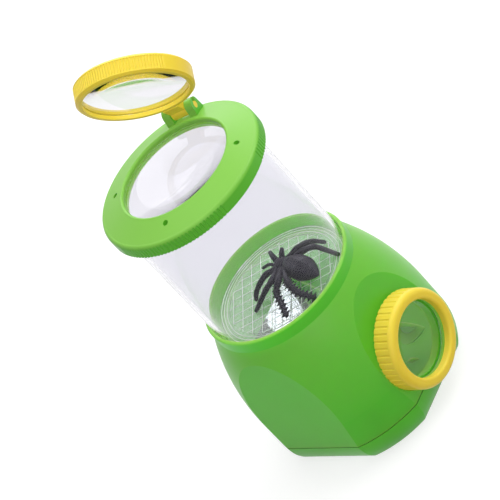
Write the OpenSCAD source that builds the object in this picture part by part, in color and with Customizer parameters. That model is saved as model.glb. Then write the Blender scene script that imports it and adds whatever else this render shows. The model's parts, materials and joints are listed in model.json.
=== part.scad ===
// Two-way bug viewer: clear jar on a mirror base, twist-on lens lid and flip-up magnifier
// Millimetres, +Z up, origin on the jar axis at the underside, eyepiece towards -Y

/* [Base] */
// Height of the collar rim above the table
base_h = 79; // [72:1:88]
// Width across the flats at the seam
base_w = 85.8; // [80:0.2:94]
// How much wider the base is across its rounded corners
corner_extra = 9.4; // [6:0.2:14]
// How much the tray draws in from the seam to the foot, on each side
foot_inset = 4.5; // [3:0.1:6]
// Height of the tray below the seam
tray_h = 12; // [10:0.5:15]
// Height over which the round collar flares out to the corners
flare_h = 46; // [38:1:50]
// How much each flat side leans in from the seam to the top of its arch
side_lean = 3.4; // [2.6:0.1:4]
// Wall thickness of the two base mouldings
base_wall = 2; // [1.6:0.1:2.6]
// Height of the collar band
collar_h = 5.8; // [5:0.2:8]
// Wall thickness of the collar
collar_wall = 1.6; // [1.2:0.1:2]
// Depth of the jar seat below the collar rim
seat_depth = 9; // [8:0.5:12]
// Width of the seam groove between housing and tray
seam_gap = 0.5; // [0.3:0.1:0.8]

/* [Jar] */
// Outer diameter of the clear jar
jar_d = 70; // [66:1:74]
// Height from the collar rim to the jar mouth
jar_above = 68.3; // [50:0.1:90]
// Wall thickness of the clear jar
jar_wall = 2; // [1.6:0.1:2.6]
// Depth of the jar floor below the collar rim
floor_depth = 6; // [5:0.1:7]
// Thickness of the measuring disc
disc_t = 1.2; // [1:0.1:2]
// Pitch of the measuring grid
grid_pitch = 5; // [4:0.5:10]
// Turn of the measuring grid against the eyepiece
grid_turn = 30; // [0:1:89]

/* [Lid] */
// Thickness of the lid rim outside the jar lugs
lid_rim_t = 3.1; // [2.6:0.1:4]
// Height of the lid rim
lid_rim_h = 6.2; // [5:0.1:8]
// Rise of the lid top from the rim to the lens hole
lid_rise = 3.4; // [2:0.1:4]
// Diameter of the lens hole
lid_hole_d = 52.6; // [48:0.2:53]
// Turn of the hinge against the eyepiece, as photographed
lid_turn = 21; // [0:1:359]
// Ribs in each of the three grip fields
lid_ribs = 31; // [15:1:35]

/* [Magnifier] */
// Outer diameter of the magnifier ring
mag_d = 50.4; // [48:0.2:53]
// Clear opening of the magnifier
mag_hole_d = 45.4; // [40:0.2:46]
// Depth of the magnifier ring
mag_h = 8.5; // [7:0.1:10]
// Distance from the jar axis to the hinge pin
hinge_r = 33; // [32.5:0.1:33.5]
// Angle between closed and the photographed pose
mag_open = 60; // [10:1:120]
// Ribs in the thumb grip
mag_ribs = 46; // [20:1:48]

/* [Eyepiece] */
// Height of the eyepiece axis above the table
eye_z = 31; // [30:0.5:34]
// How far the ring stands out in front of the flat side at the seam
eye_out = 8.3; // [7:0.1:10]
// Largest diameter of the knurled ring
eye_d = 43.6; // [40:0.2:46]
// Width of the ring between its outer edge and its opening
eye_rim = 5; // [4.6:0.1:7]
// Length of the ring
eye_len = 10; // [9:0.1:12]
// Grooves round the ring
eye_ribs = 44; // [30:1:48]

/* [Mirror] */
// Length of the mirror down its slope
mirror_l = 60; // [52:1:62]
// Thickness of the mirror
mirror_t = 1.8; // [1:0.1:2.2]

/* [Hidden] */

green = "#55ad3a";
yellow = "#e6c62e";
clear = [0.88, 0.89, 0.93, 0.35];
silver = "#c9cfd4";
steel = "#9da1a6";
charcoal = "#3a3842";

$fn = 96;
// Overrun of every cut past the face that it leaves
over = 1;
// Gap between pieces that move against each other without being a fit
gap = 0.3;
// Gap between pieces pressed or laid together in one body
seat_gap = 0.05;
// Radial running clearance of the hinge pin and of the eyepiece ring
run_gap = 0.06;
// Segments of the large arcs and lens faces, and of small round details
fine_fn = 400;
small_fn = 16;

// Base: the arch is the part of each flat side above the seam
corner_w = base_w + corner_extra;
seam_z = tray_h;
shoulder_z = base_h - collar_h;
flare_z = shoulder_z - flare_h;
arch_h = 55;
jar_r = jar_d / 2;
collar_bore_r = jar_r + gap;
collar_r = collar_bore_r + collar_wall;
seat_z = base_h - seat_depth;
seat_t = 2;
seat_lip = 4;
lip_h = 2.5;
lip_t = 1;
lip_gap = 0.15;

// Tray screws
screw_inset = 15.6;
screw_place = base_w / 2 - screw_inset;
screw_boss_r = 3.6;
screw_r = 1.2;
screw_head_r = 2.6;
screw_head_h = 1.8;
screw_l = 12;
screw_slot_w = 0.7;
screw_slot_d = 0.8;
screw_slot_l = 3.2;
screw_boss_h = 13;
screw_web_t = 1.6;
screw_pad_t = 3;

// Jar
floor_z = base_h - floor_depth;
floor_t = 1.8;
jar_bottom = seat_z + gap;
jar_top = base_h + jar_above;
jar_inner_r = jar_r - jar_wall;
lug_out = 1.6;
lug_h = 1.2;
lug_angle = 24;
lug_below_top = 0.2;
lug_clear = 0.4;

// Measuring disc
disc_r = jar_inner_r - gap;
disc_top = floor_z + disc_t;
disc_step_w = 1.4;
disc_step_h = 0.5;
disc_rings = 3;
disc_ring_pitch = 1.5;
line_w = 0.35;
line_d = 0.25;
grid_r = disc_r - disc_step_w - disc_rings * disc_ring_pitch;

// Lid
lid_bore_r = jar_r + lug_out + lug_clear;
lid_r = lid_bore_r + lid_rim_t;
lid_hole_r = lid_hole_d / 2;
lid_land_z = jar_top + gap;
lid_plate_t = 1.4;
lid_edge_z = lid_land_z + lid_plate_t;
lid_rim_z = lid_edge_z - lid_rim_h;
lid_crest_z = lid_edge_z + lid_rise;
lid_edge_round = 1.8;
lid_crest_round = 1;
lid_top_wall = 2;
lid_lens_seat = 1.3;
lid_lens_sink = 2.2;
lid_lens_r = lid_hole_r + lid_lens_seat;
lid_cell_wall = 1.5;
lid_cell_r = lid_lens_r + seat_gap + lid_cell_wall;
lid_lens_edge = 2.5;
lid_lens_bulge = 1.8;
lid_seat_z = lid_crest_z - lid_lens_sink;
lid_clip_h = 2.5;
lid_cell_z = lid_seat_z - lid_lens_edge - lid_clip_h;
lid_land_in = 0.5;
lid_land_r = jar_inner_r - lid_land_in;
lid_tab_h = 1.2;
lid_tab_under = 0.1;
lid_tab_z = jar_top - lug_below_top - lug_h - lid_tab_under - lid_tab_h;
lid_tab_angle = 24;
grip_fields = 3;
grip_angle = 81;
field_angle = 360 / grip_fields;
groove_r = 0.5;
groove_out = 0.15;
air_hole_r = 1.25;
air_hole_place = 31.4;
air_hole_angles = [90, 180, 270];

// Hinge between lid and magnifier
pin_r = 1.5;
knuckle_r = 3;
knuckle_w = 7.6;
ear_t = 3.6;
ear_r = 3.6;
ear_foot_in = 5;
ear_foot_out = 4;
ear_foot_rise = 0.3;
snap_w = 2.2;
snap_turn = 30;
pin_rise = 5.2;
pin_z = lid_edge_z + pin_rise;
hinge_half = knuckle_w / 2 + gap + ear_t;

// Magnifier, in its closed place over the lid lens
mag_r = mag_d / 2;
mag_hole_r = mag_hole_d / 2;
mag_z = lid_crest_z + gap;
mag_lip_h = 1.8;
mag_lens_seat = 1.1;
mag_lens_r = mag_hole_r + mag_lens_seat;
mag_lens_edge = 2.2;
mag_lens_bulge = 1.6;
mag_clip_sink = 0.5;
mag_edge_round = 1.4;
mag_grip_angle = 132;
mag_tab_t = 4;
mag_tab_in = 1;

// Eyepiece
eye_r = eye_d / 2;
eye_hole_r = eye_r - eye_rim;
eye_front = base_w / 2 + eye_out;
eye_back = eye_front - eye_len;
eye_boss_wall = 1.6;
eye_lens_seat = 1.1;
eye_lens_r = eye_hole_r + eye_lens_seat;
eye_boss_r = eye_lens_r + seat_gap + eye_boss_wall;
eye_flange_t = 3.6;
eye_boss_front = eye_front - eye_flange_t - gap;
eye_lens_edge = 2;
eye_lens_bulge = 1.5;
eye_clip_l = 1.4;
eye_clip_sink = 0.3;
eye_seat = eye_boss_front - eye_clip_sink - eye_clip_l - eye_lens_edge;
eye_edge_round = 2.4;
eye_mouth_round = 1.2;
eye_groove_r = 0.7;
eye_groove_out = 0.35;
eye_shoulder = 2.6;
eye_step = 0.4;
eye_stop_r = eye_hole_r - eye_step;
eye_clip_r = eye_hole_r + eye_step / 2;
eye_bead = 0.35;
eye_bead_w = 1;
eye_pad_out = 1.4;
eye_pad_r = eye_r + eye_pad_out;
eye_pad_t = 2.7;
eye_pad_z = eye_back - gap - eye_pad_t;

// Mirror and holder, in a frame with X across and Y up the 45 degree slope
mirror_tilt = 45;
mirror_top = 32;
holder_t = 1.8;
holder_side = 1.2;
holder_clear = 2.5;
mirror_w = 2 * (screw_place - screw_boss_r - holder_clear - holder_side);
holder_lip = 1.4;
rib_t = 1.8;
rib_inset = 6;
holder_foot_z = base_wall + seat_gap;

// Toy spider, with X forward from between chest and belly
spider_place = [6.2, -5.5];
spider_heading = 73;
chest_at = 4;
belly_at = -9.5;
under_z = 1.2;
chest_size = [4.6, 3.8, 3];
belly_size = [10.5, 6.6, 4.4];
hip_y = 2.8;
knee_z = 8.5;
foot_r = 0.8;
thigh_r = 1.4;
palp_r = 1.1;
palp_from = 3.5;
palp_l = 4.5;
palp_y = 1.4;
palp_spread = 1;
palp_z = 3;
// Feet as shares of the longest reach, front to back on the left, then on the right
leg_reach = 28;
foot_shares = [[0.48, 0.43], [0.21, 0.64], [-0.61, 0.64], [-1, 0.29],
               [0.46, -0.14], [0.32, -0.34], [-0.48, -0.57], [-0.79, -0.36]];
// Hip, knee and ankle as shares of the foot: along, sideways and in height
hip_share = 0.08;
knee_share = 0.35;
knee_side_share = 0.45;
ankle_share = 0.8;
ankle_side_share = 0.9;
ankle_z_share = 0.5;
chest_fn = 20;
belly_fn = 24;
leg_fn = 8;

// Radius of the arc that leaves the vertical and moves sideways by side over a height rise
function arc_r(side, rise) = (side * side + rise * rise) / (2 * side);

// Both flat-sided profiles crossed, so that the plan is a square
module squared(reach) {
    intersection() {
        rotate([90, 0, 0]) linear_extrude(2 * reach, center = true) children();
        rotate([90, 0, 90]) linear_extrude(2 * reach, center = true) children();
    }
}

// Half section of the flare: vertical at the bottom, an arc up to the collar
module flare_section(inset, bottom_z, top_z) {
    side = corner_w / 2 - collar_r;
    big_r = arc_r(side, flare_h);
    out_r = corner_w / 2 - inset;
    intersection() {
        translate([0, bottom_z]) square([out_r, top_z - bottom_z]);
        union() {
            if (flare_z > bottom_z) translate([0, bottom_z]) square([out_r, flare_z - bottom_z]);
            translate([corner_w / 2 - big_r, flare_z]) circle(r = big_r - inset, $fn = fine_fn);
        }
    }
}

// Full width section of the flat sides, leaning in towards the top
module lean_section(inset, bottom_z, top_z) {
    half = base_w / 2 - inset;
    lean = side_lean / arch_h;
    low = half - lean * (bottom_z - seam_z);
    high = half - lean * (top_z - seam_z);
    polygon([[-low, bottom_z], [low, bottom_z], [high, top_z], [-high, top_z]]);
}

// Housing form from bottom_z to top_z, drawn in by inset on every side
module housing_form(inset, bottom_z, top_z) {
    intersection() {
        rotate_extrude() flare_section(inset, bottom_z, top_z);
        squared(base_w) lean_section(inset, bottom_z, top_z);
    }
}

// Section of the tray from its half width at the seam, drawn in along an arc to the foot
module tray_section(half, inset, bottom_z, top_z) {
    curve_r = arc_r(foot_inset, tray_h);
    mid = half - curve_r;
    intersection() {
        translate([-half, bottom_z]) square([2 * half, top_z - bottom_z]);
        union() {
            translate([-mid, bottom_z]) square([2 * mid, top_z - bottom_z]);
            for (side = [-1, 1]) intersection() {
                translate([side * mid, seam_z]) circle(r = curve_r - inset);
                translate([min(0, side * half), 0]) square([half, seam_z]);
            }
            if (top_z > seam_z) translate([inset - half, seam_z])
                square([2 * (half - inset), top_z - seam_z]);
        }
    }
}

// Tray form from bottom_z to top_z, drawn in by inset on every side
module tray_form(inset, bottom_z, top_z) {
    intersection() {
        rotate_extrude() intersection() {
            tray_section(corner_w / 2, inset, bottom_z, top_z);
            square([corner_w, base_h]);
        }
        squared(base_w) tray_section(base_w / 2, inset, bottom_z, top_z);
    }
}

// Copies the children to the four corner screw places
module at_screws() {
    for (x = [-screw_place, screw_place])
        for (y = [-screw_place, screw_place])
            translate([x, y, 0]) children();
}

// Turns a part drawn along +Z so that it points out of the eyepiece
module along_eye() {
    translate([0, 0, eye_z]) rotate([90, 0, 0]) children();
}

// Green housing: collar, jar seat, flared body and eyepiece boss
module base_housing() {
    color(green) difference() {
        union() {
            difference() {
                union() {
                    housing_form(0, seam_z + seam_gap, shoulder_z);
                    collar_band();
                    along_eye() translate([0, 0, eye_pad_z])
                        cylinder(r = eye_boss_r, h = eye_boss_front - eye_pad_z);
                }
                housing_form(base_wall, seam_z - over, seat_z - seat_t);
            }
            intersection() {
                housing_form(base_wall / 2, seam_z + seam_gap, shoulder_z);
                union() {
                    screw_bosses();
                    eye_pad();
                }
            }
        }
        translate([0, 0, seat_z]) cylinder(r = collar_bore_r, h = seat_depth + over);
        translate([0, 0, seat_z - seat_t - over])
            cylinder(r = collar_bore_r - seat_lip, h = seat_t + 2 * over);
        eye_pocket();
        eye_bores();
        at_screws() translate([0, 0, seam_z]) cylinder(r = screw_r, h = screw_l);
    }
}

// Bosses for the tray screws, each tied to its corner by a web above the tray lip
module screw_bosses() {
    web_z = seam_z + lip_h + gap;
    top_z = seam_z + seam_gap + screw_boss_h;
    at_screws() translate([0, 0, seam_z + seam_gap]) cylinder(r = screw_boss_r, h = screw_boss_h);
    for (k = [0:3]) rotate(45 + k * 90) translate([screw_place * sqrt(2), -screw_web_t / 2, web_z])
        cube([corner_w / 2 - screw_place * sqrt(2), screw_web_t, top_z - web_z]);
}

// Thick round pad behind the eyepiece ring
module eye_pad() {
    along_eye() translate([0, 0, eye_pad_z]) cylinder(r = eye_pad_r, h = eye_pad_t);
}

// Round pocket in which the eyepiece ring sits, left open round the boss
module eye_pocket() {
    along_eye() translate([0, 0, eye_back - gap]) difference() {
        cylinder(r = eye_r + gap, h = eye_front);
        translate([0, 0, -over]) cylinder(r = eye_boss_r, h = eye_front + 2 * over);
    }
}

module collar_band() {
    translate([0, 0, shoulder_z]) rotate_extrude() {
        square([collar_r, collar_h - collar_wall / 2]);
        translate([collar_bore_r, 0]) square([collar_wall / 2, collar_h - collar_wall / 2]);
        translate([collar_r - collar_wall / 2, collar_h - collar_wall / 2]) circle(r = collar_wall / 2);
        square([collar_r - collar_wall / 2, collar_h]);
    }
}

// Lens seat, clear way to the mirror and bead groove of the eyepiece boss
module eye_bores() {
    along_eye() {
        translate([0, 0, eye_seat]) cylinder(r = eye_lens_r + seat_gap, h = eye_front);
        translate([0, 0, eye_pad_z - over - eye_lens_edge])
            cylinder(r = eye_stop_r, h = eye_front);
        translate([0, 0, eye_back + eye_bead_w]) difference() {
            cylinder(r = eye_boss_r + over, h = eye_bead_w + gap);
            translate([0, 0, -over])
                cylinder(r = eye_boss_r - eye_bead - run_gap, h = eye_bead_w + gap + 2 * over);
        }
    }
}

// Green tray that closes the underside and carries the mirror holder
module base_tray() {
    boss_foot = base_wall / 2;
    color(green) difference() {
        union() {
            difference() {
                tray_form(0, 0, seam_z);
                tray_form(base_wall, base_wall, seam_z + over);
            }
            tray_lip();
            intersection() {
                tray_form(boss_foot, boss_foot, seam_z);
                eye_pad();
            }
            at_screws() translate([0, 0, boss_foot])
                cylinder(r = screw_boss_r, h = seam_z + seam_gap - boss_foot - seat_gap);
        }
        at_screws() {
            translate([0, 0, -over]) cylinder(r = screw_r + gap, h = seam_z + lip_h + 2 * over);
            translate([0, 0, -over])
                cylinder(r = screw_head_r + gap, h = seam_z - screw_pad_t + over);
        }
        eye_pocket();
        along_eye() translate([0, 0, eye_pad_z - over]) cylinder(r = eye_boss_r + gap, h = eye_front);
    }
}

// Lip that centres the tray inside the housing, left out at the eyepiece
module tray_lip() {
    inset = base_wall + lip_gap;
    difference() {
        union() {
            housing_form(inset, seam_z - lip_h, seam_z + lip_h);
            tray_form(base_wall / 2, seam_z - lip_h, seam_z);
        }
        housing_form(inset + lip_t, seam_z - lip_h - over, seam_z + lip_h + over);
        along_eye() translate([0, 0, base_w / 4]) cylinder(r = eye_pad_r + gap, h = base_w / 2);
    }
}

// Four self-tapping screws that hold the tray on
module tray_screws() {
    color(steel) at_screws() translate([0, 0, seam_z - screw_pad_t]) difference() {
        union() {
            translate([0, 0, -screw_head_h]) cylinder(r = screw_head_r, h = screw_head_h);
            cylinder(r = screw_r - seat_gap, h = screw_l);
        }
        for (a = [0, 90]) rotate(a)
            translate([-screw_slot_l / 2, -screw_slot_w / 2, -screw_head_h - over])
                cube([screw_slot_l, screw_slot_w, screw_slot_d + over]);
    }
}

// Frame of the mirror: X across, Y up the slope, Z out of the silvered face
module on_slope() {
    translate([0, 0, eye_z]) rotate([mirror_tilt, 0, 0]) children();
}

// Inclined carrier that stands on the tray
module mirror_holder() {
    wide = mirror_w + 2 * (holder_side + seat_gap);
    low = mirror_top - mirror_l;
    color(green) intersection() {
        union() {
            on_slope() {
                translate([-wide / 2, low - holder_lip, -mirror_t - holder_t])
                    cube([wide, mirror_l + holder_lip, holder_t]);
                translate([-wide / 2, low - holder_lip, -mirror_t])
                    cube([wide, holder_lip - seat_gap, mirror_t]);
                for (x = [-wide / 2, wide / 2 - holder_side])
                    translate([x, low, -mirror_t]) cube([holder_side, mirror_l, mirror_t]);
            }
            for (x = [-1, 1]) translate([x * (wide / 2 - rib_inset) - rib_t / 2, 0, 0]) holder_rib();
        }
        translate([-wide, -base_w / 2, holder_foot_z]) cube([2 * wide, base_w, base_h]);
    }
}

// Triangular rib from the sloping plate down to the tray floor
module holder_rib() {
    low = mirror_top - mirror_l;
    under = (mirror_t + holder_t) * sqrt(2) - holder_t / 2;
    y_low = low / sqrt(2) + 2 * holder_t;
    y_high = mirror_top / sqrt(2) - holder_t;
    rotate([90, 0, 90]) linear_extrude(rib_t)
        polygon([[y_low, eye_z + y_low - under], [y_high, eye_z + y_high - under],
                 [y_high, holder_foot_z], [y_low, holder_foot_z]]);
}

module mirror() {
    color(silver) on_slope()
        translate([-mirror_w / 2, mirror_top - mirror_l, -mirror_t + seat_gap])
            cube([mirror_w, mirror_l, mirror_t - seat_gap]);
}

// Biconvex lens lying flat: flat rim from z = 0 to z = edge, curved within the clear radius
module lens(r, clear_r, edge, bulge) {
    cap_r = (clear_r * clear_r + bulge * bulge) / (2 * bulge);
    cylinder(r = r, h = edge);
    intersection() {
        translate([0, 0, -bulge - over]) cylinder(r = clear_r, h = edge + 2 * (bulge + over));
        translate([0, 0, edge + bulge - cap_r]) sphere(r = cap_r, $fn = fine_fn);
        translate([0, 0, cap_r - bulge]) sphere(r = cap_r, $fn = fine_fn);
    }
}

// Outer upper quarter of a disc
module quarter_round(r) {
    intersection() {
        circle(r = r);
        square(r);
    }
}

// Grooves cut round a rim by small vertical cylinders
module grip_grooves(rim_r, count, from_angle, pitch, bottom_z, height) {
    for (i = [0:count - 1]) rotate(from_angle + i * pitch)
        translate([rim_r + groove_out, 0, bottom_z]) cylinder(r = groove_r, h = height, $fn = small_fn);
}

// Yellow ring that turns on the eyepiece boss
module eyepiece_ring() {
    pitch = 360 / eye_ribs;
    color(yellow) along_eye() translate([0, 0, eye_back]) difference() {
        rotate_extrude() eyepiece_section();
        difference() {
            translate([0, 0, -over]) cylinder(r = eye_boss_r + run_gap, h = eye_len - eye_flange_t + over);
            translate([0, 0, eye_bead_w + gap / 2]) difference() {
                cylinder(r = eye_boss_r + over, h = eye_bead_w);
                translate([0, 0, -over])
                    cylinder(r = eye_boss_r - eye_bead, h = eye_bead_w + 2 * over);
            }
        }
        for (i = [0:eye_ribs - 1]) rotate(i * pitch) translate([eye_r + eye_groove_out, 0, -over])
            cylinder(r = eye_groove_r, h = eye_len - eye_shoulder + over, $fn = small_fn);
    }
}

// Half section of the ring: straight wall, rounded nose and rounded mouth
module eyepiece_section() {
    nose_r = eye_r - eye_edge_round;
    mouth_r = eye_hole_r + eye_mouth_round;
    polygon([[eye_hole_r, 0], [eye_r, 0], [eye_r, eye_len - eye_edge_round],
             [nose_r, eye_len - eye_edge_round], [nose_r, eye_len], [mouth_r, eye_len],
             [mouth_r, eye_len - eye_mouth_round], [eye_hole_r, eye_len - eye_mouth_round]]);
    translate([nose_r, eye_len - eye_edge_round]) quarter_round(eye_edge_round);
    translate([mouth_r, eye_len - eye_mouth_round]) rotate(90) quarter_round(eye_mouth_round);
}

module eyepiece_lens() {
    color(clear) along_eye() translate([0, 0, eye_seat + seat_gap])
        lens(eye_lens_r, eye_stop_r - seat_gap, eye_lens_edge, eye_lens_bulge);
}

// Ring that holds the eyepiece lens against its shoulder
module eyepiece_clip() {
    color(green) along_eye() translate([0, 0, eye_seat + eye_lens_edge + 2 * seat_gap]) difference() {
        cylinder(r = eye_lens_r, h = eye_clip_l);
        translate([0, 0, -over]) cylinder(r = eye_clip_r, h = eye_clip_l + 2 * over);
    }
}

// Clear jar: tube, floor and three lid lugs in one moulding
module jar() {
    color(clear) {
        translate([0, 0, jar_bottom]) difference() {
            cylinder(r = jar_r, h = jar_top - jar_bottom);
            translate([0, 0, floor_z - jar_bottom]) cylinder(r = jar_inner_r, h = jar_top);
            translate([0, 0, -over]) cylinder(r = jar_inner_r, h = floor_z - floor_t - jar_bottom + over);
        }
        for (k = [0:grip_fields - 1]) rotate(lid_turn + (k + 1 / 2) * field_angle)
            translate([0, 0, jar_top - lug_below_top - lug_h])
                rotate(-lug_angle / 2) rotate_extrude(angle = lug_angle)
                    translate([jar_r - jar_wall / 2, 0]) square([lug_out + jar_wall / 2, lug_h]);
    }
}

// Clear disc with a measuring grid, laid on the jar floor
module measuring_disc() {
    lines = floor(grid_r / grid_pitch);
    color(clear) translate([0, 0, floor_z + seat_gap]) difference() {
        cylinder(r = disc_r, h = disc_t - seat_gap);
        translate([0, 0, disc_t - disc_step_h]) difference() {
            cylinder(r = disc_r + over, h = disc_t);
            translate([0, 0, -over]) cylinder(r = disc_r - disc_step_w, h = disc_t + 2 * over);
        }
        for (k = [1:disc_rings]) translate([0, 0, disc_t - line_d - seat_gap]) difference() {
            cylinder(r = disc_r - disc_step_w - k * disc_ring_pitch + line_w, h = disc_t);
            translate([0, 0, -over])
                cylinder(r = disc_r - disc_step_w - k * disc_ring_pitch, h = disc_t + 2 * over);
        }
        for (turn = [0, 90]) rotate(grid_turn + turn)
            for (k = [-lines:lines])
                let (half = sqrt(pow(grid_r, 2) - pow(k * grid_pitch, 2)))
                translate([-half, k * grid_pitch - line_w / 2, disc_t - line_d - seat_gap])
                    cube([2 * half, line_w, disc_t]);
    }
}

// Section of the lid, from the axis outwards
module lid_section() {
    top_slope = lid_rise / (lid_r - lid_edge_round - lid_hole_r - lid_crest_round);
    inner_z = lid_land_z + lid_top_wall;
    difference() {
        union() {
            polygon([[lid_hole_r, lid_seat_z], [lid_hole_r, lid_crest_z - lid_crest_round],
                     [lid_hole_r + lid_crest_round, lid_crest_z],
                     [lid_r - lid_edge_round, lid_edge_z],
                     [lid_r - lid_edge_round, lid_edge_z - lid_edge_round],
                     [lid_r, lid_edge_z - lid_edge_round],
                     [lid_r, lid_rim_z], [lid_bore_r, lid_rim_z], [lid_bore_r, lid_land_z],
                     [lid_land_r, lid_land_z], [lid_cell_r, inner_z], [lid_cell_r, lid_cell_z],
                     [lid_lens_r + seat_gap, lid_cell_z], [lid_lens_r + seat_gap, lid_seat_z]]);
            translate([lid_r - lid_edge_round, lid_edge_z - lid_edge_round])
                quarter_round(lid_edge_round);
            translate([lid_hole_r + lid_crest_round, lid_crest_z - lid_crest_round])
                circle(r = lid_crest_round);
        }
        translate([0, lid_seat_z]) square([lid_hole_r, lid_rise + lid_crest_z]);
    }
}

// Moves the children to the hinge pin: X outwards, Y along the pin, Z up
module at_hinge() {
    rotate(lid_turn) translate([hinge_r, 0, pin_z]) children();
}

// Cylinder along Y, centred on the hinge pin
module pin_bar(r, half) {
    rotate([90, 0, 0]) translate([0, 0, -half]) cylinder(r = r, h = 2 * half);
}

// Green lid: rim, sloping top, lens cell, air holes and hinge ears
module lid() {
    pitch = grip_angle / lid_ribs;
    color(green) difference() {
        union() {
            rotate_extrude() lid_section();
            for (k = [0:grip_fields - 1]) rotate(lid_turn + k * field_angle - lid_tab_angle / 2)
                translate([0, 0, lid_tab_z]) rotate_extrude(angle = lid_tab_angle)
                    translate([jar_r + gap, 0])
                        square([lid_bore_r - jar_r - gap + lid_rim_t / 2, lid_tab_h]);
            at_hinge() for (side = [-1, 1])
                translate([0, side * (hinge_half - ear_t / 2), 0]) hinge_ear();
        }
        for (k = [0:grip_fields - 1])
            grip_grooves(lid_r, lid_ribs, lid_turn + (k + 1 / 2) * field_angle - (grip_angle - pitch) / 2,
                pitch, lid_rim_z - over, lid_rim_h);
        for (a = air_hole_angles) rotate(lid_turn + a)
            translate([air_hole_place, 0, lid_rim_z]) cylinder(r = air_hole_r, h = lid_rim_h + lid_rise);
        at_hinge() {
            pin_bar(pin_r + run_gap, hinge_half + over);
            rotate([0, snap_turn, 0]) translate([-snap_w / 2, -hinge_half - over, 0])
                cube([snap_w, 2 * (hinge_half + over), ear_r + over]);
        }
    }
}

// One ear: round head over a wider foot sunk in the lid top
module hinge_ear() {
    foot_z = ear_foot_rise - pin_rise;
    rotate([90, 0, 0]) translate([0, 0, -ear_t / 2]) linear_extrude(ear_t) {
        circle(r = ear_r);
        polygon([[-ear_r, 0], [ear_r, 0], [ear_foot_out, foot_z], [-ear_foot_in, foot_z]]);
    }
}

module lid_lens() {
    color(clear) translate([0, 0, lid_seat_z - lid_lens_edge - seat_gap])
        lens(lid_lens_r, lid_hole_r - seat_gap, lid_lens_edge, lid_lens_bulge);
}

// Ring pressed in under the lid lens
module lid_lens_clip() {
    color(green) translate([0, 0, lid_cell_z]) difference() {
        cylinder(r = lid_lens_r, h = lid_clip_h - 2 * seat_gap);
        translate([0, 0, -over]) cylinder(r = lid_hole_r, h = lid_clip_h + 2 * over);
    }
}

// Puts parts drawn closed over the lid lens into the photographed pose
module opened() {
    at_hinge() rotate([0, mag_open, 0]) translate([-hinge_r, 0, mag_z - pin_z]) children();
}

// Yellow ring with thumb grip, hinge tab and pin
module magnifier_frame() {
    pitch = mag_grip_angle / mag_ribs;
    tab_from = mag_lens_r + mag_tab_in;
    color(yellow) opened() difference() {
        union() {
            rotate_extrude() mag_section();
            translate([tab_from, -knuckle_w / 2, 0]) cube([hinge_r - tab_from, knuckle_w, mag_tab_t]);
            translate([hinge_r, 0, pin_z - mag_z]) {
                pin_bar(knuckle_r, knuckle_w / 2);
                pin_bar(pin_r, hinge_half);
            }
        }
        grip_grooves(mag_r, mag_ribs, 180 - mag_grip_angle / 2 + pitch / 2, pitch,
            mag_edge_round, mag_h - 2 * mag_edge_round);
    }
}

module mag_section() {
    difference() {
        translate([mag_hole_r, 0]) square([mag_r - mag_hole_r, mag_h]);
        translate([0, mag_lip_h]) square([mag_lens_r + seat_gap, mag_h]);
        for (z = [0, mag_h]) translate([mag_r, z]) rotate(45)
            square(mag_edge_round, center = true);
    }
}

module magnifier_lens() {
    color(clear) opened() translate([0, 0, mag_lip_h + seat_gap])
        lens(mag_lens_r, mag_hole_r - seat_gap, mag_lens_edge, mag_lens_bulge);
}

// Ring pressed in over the magnifier lens
module magnifier_clip() {
    clip_h = mag_h - mag_lip_h - mag_lens_edge - mag_clip_sink - 2 * seat_gap;
    color(yellow) opened() translate([0, 0, mag_h - mag_clip_sink - clip_h]) difference() {
        cylinder(r = mag_lens_r, h = clip_h);
        translate([0, 0, -over]) cylinder(r = mag_hole_r, h = clip_h + 2 * over);
    }
}

// One limb through its joints, as tapering rods
module spider_limb(joints, thick, thin) {
    count = len(joints) - 1;
    for (i = [0:count - 1]) hull() {
        translate(joints[i]) sphere(r = thick + (thin - thick) * i / count, $fn = leg_fn);
        translate(joints[i + 1]) sphere(r = thick + (thin - thick) * (i + 1) / count, $fn = leg_fn);
    }
}

// Soft toy spider that lies on the measuring disc
module toy_spider() {
    hip_z = under_z + chest_size[2];
    color(charcoal) translate([spider_place[0], spider_place[1], disc_top]) rotate(spider_heading) {
        translate([chest_at, 0, hip_z]) scale(chest_size) sphere(r = 1, $fn = chest_fn);
        translate([belly_at, 0, under_z + belly_size[2]]) scale(belly_size) sphere(r = 1, $fn = belly_fn);
        for (share = foot_shares) {
            along = leg_reach * share[0];
            side = leg_reach * share[1];
            hip = sign(side) * hip_y;
            spider_limb([[chest_at + along * hip_share, hip, hip_z],
                [chest_at + along * knee_share, hip + (side - hip) * knee_side_share, knee_z],
                [chest_at + along * ankle_share, side * ankle_side_share, knee_z * ankle_z_share],
                [chest_at + along, side, foot_r]], thigh_r, foot_r);
        }
        for (side = [-1, 1])
            spider_limb([[chest_at + palp_from, side * palp_y, hip_z],
                [chest_at + palp_from + palp_l, side * (palp_y + palp_spread), palp_z]], palp_r, foot_r);
    }
}

base_housing();
base_tray();
tray_screws();
mirror_holder();
mirror();
eyepiece_ring();
eyepiece_lens();
eyepiece_clip();
jar();
measuring_disc();
toy_spider();
lid();
lid_lens();
lid_lens_clip();
magnifier_frame();
magnifier_lens();
magnifier_clip();
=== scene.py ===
import json
import math

import bmesh
import bpy
from mathutils import Matrix, Vector


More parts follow.
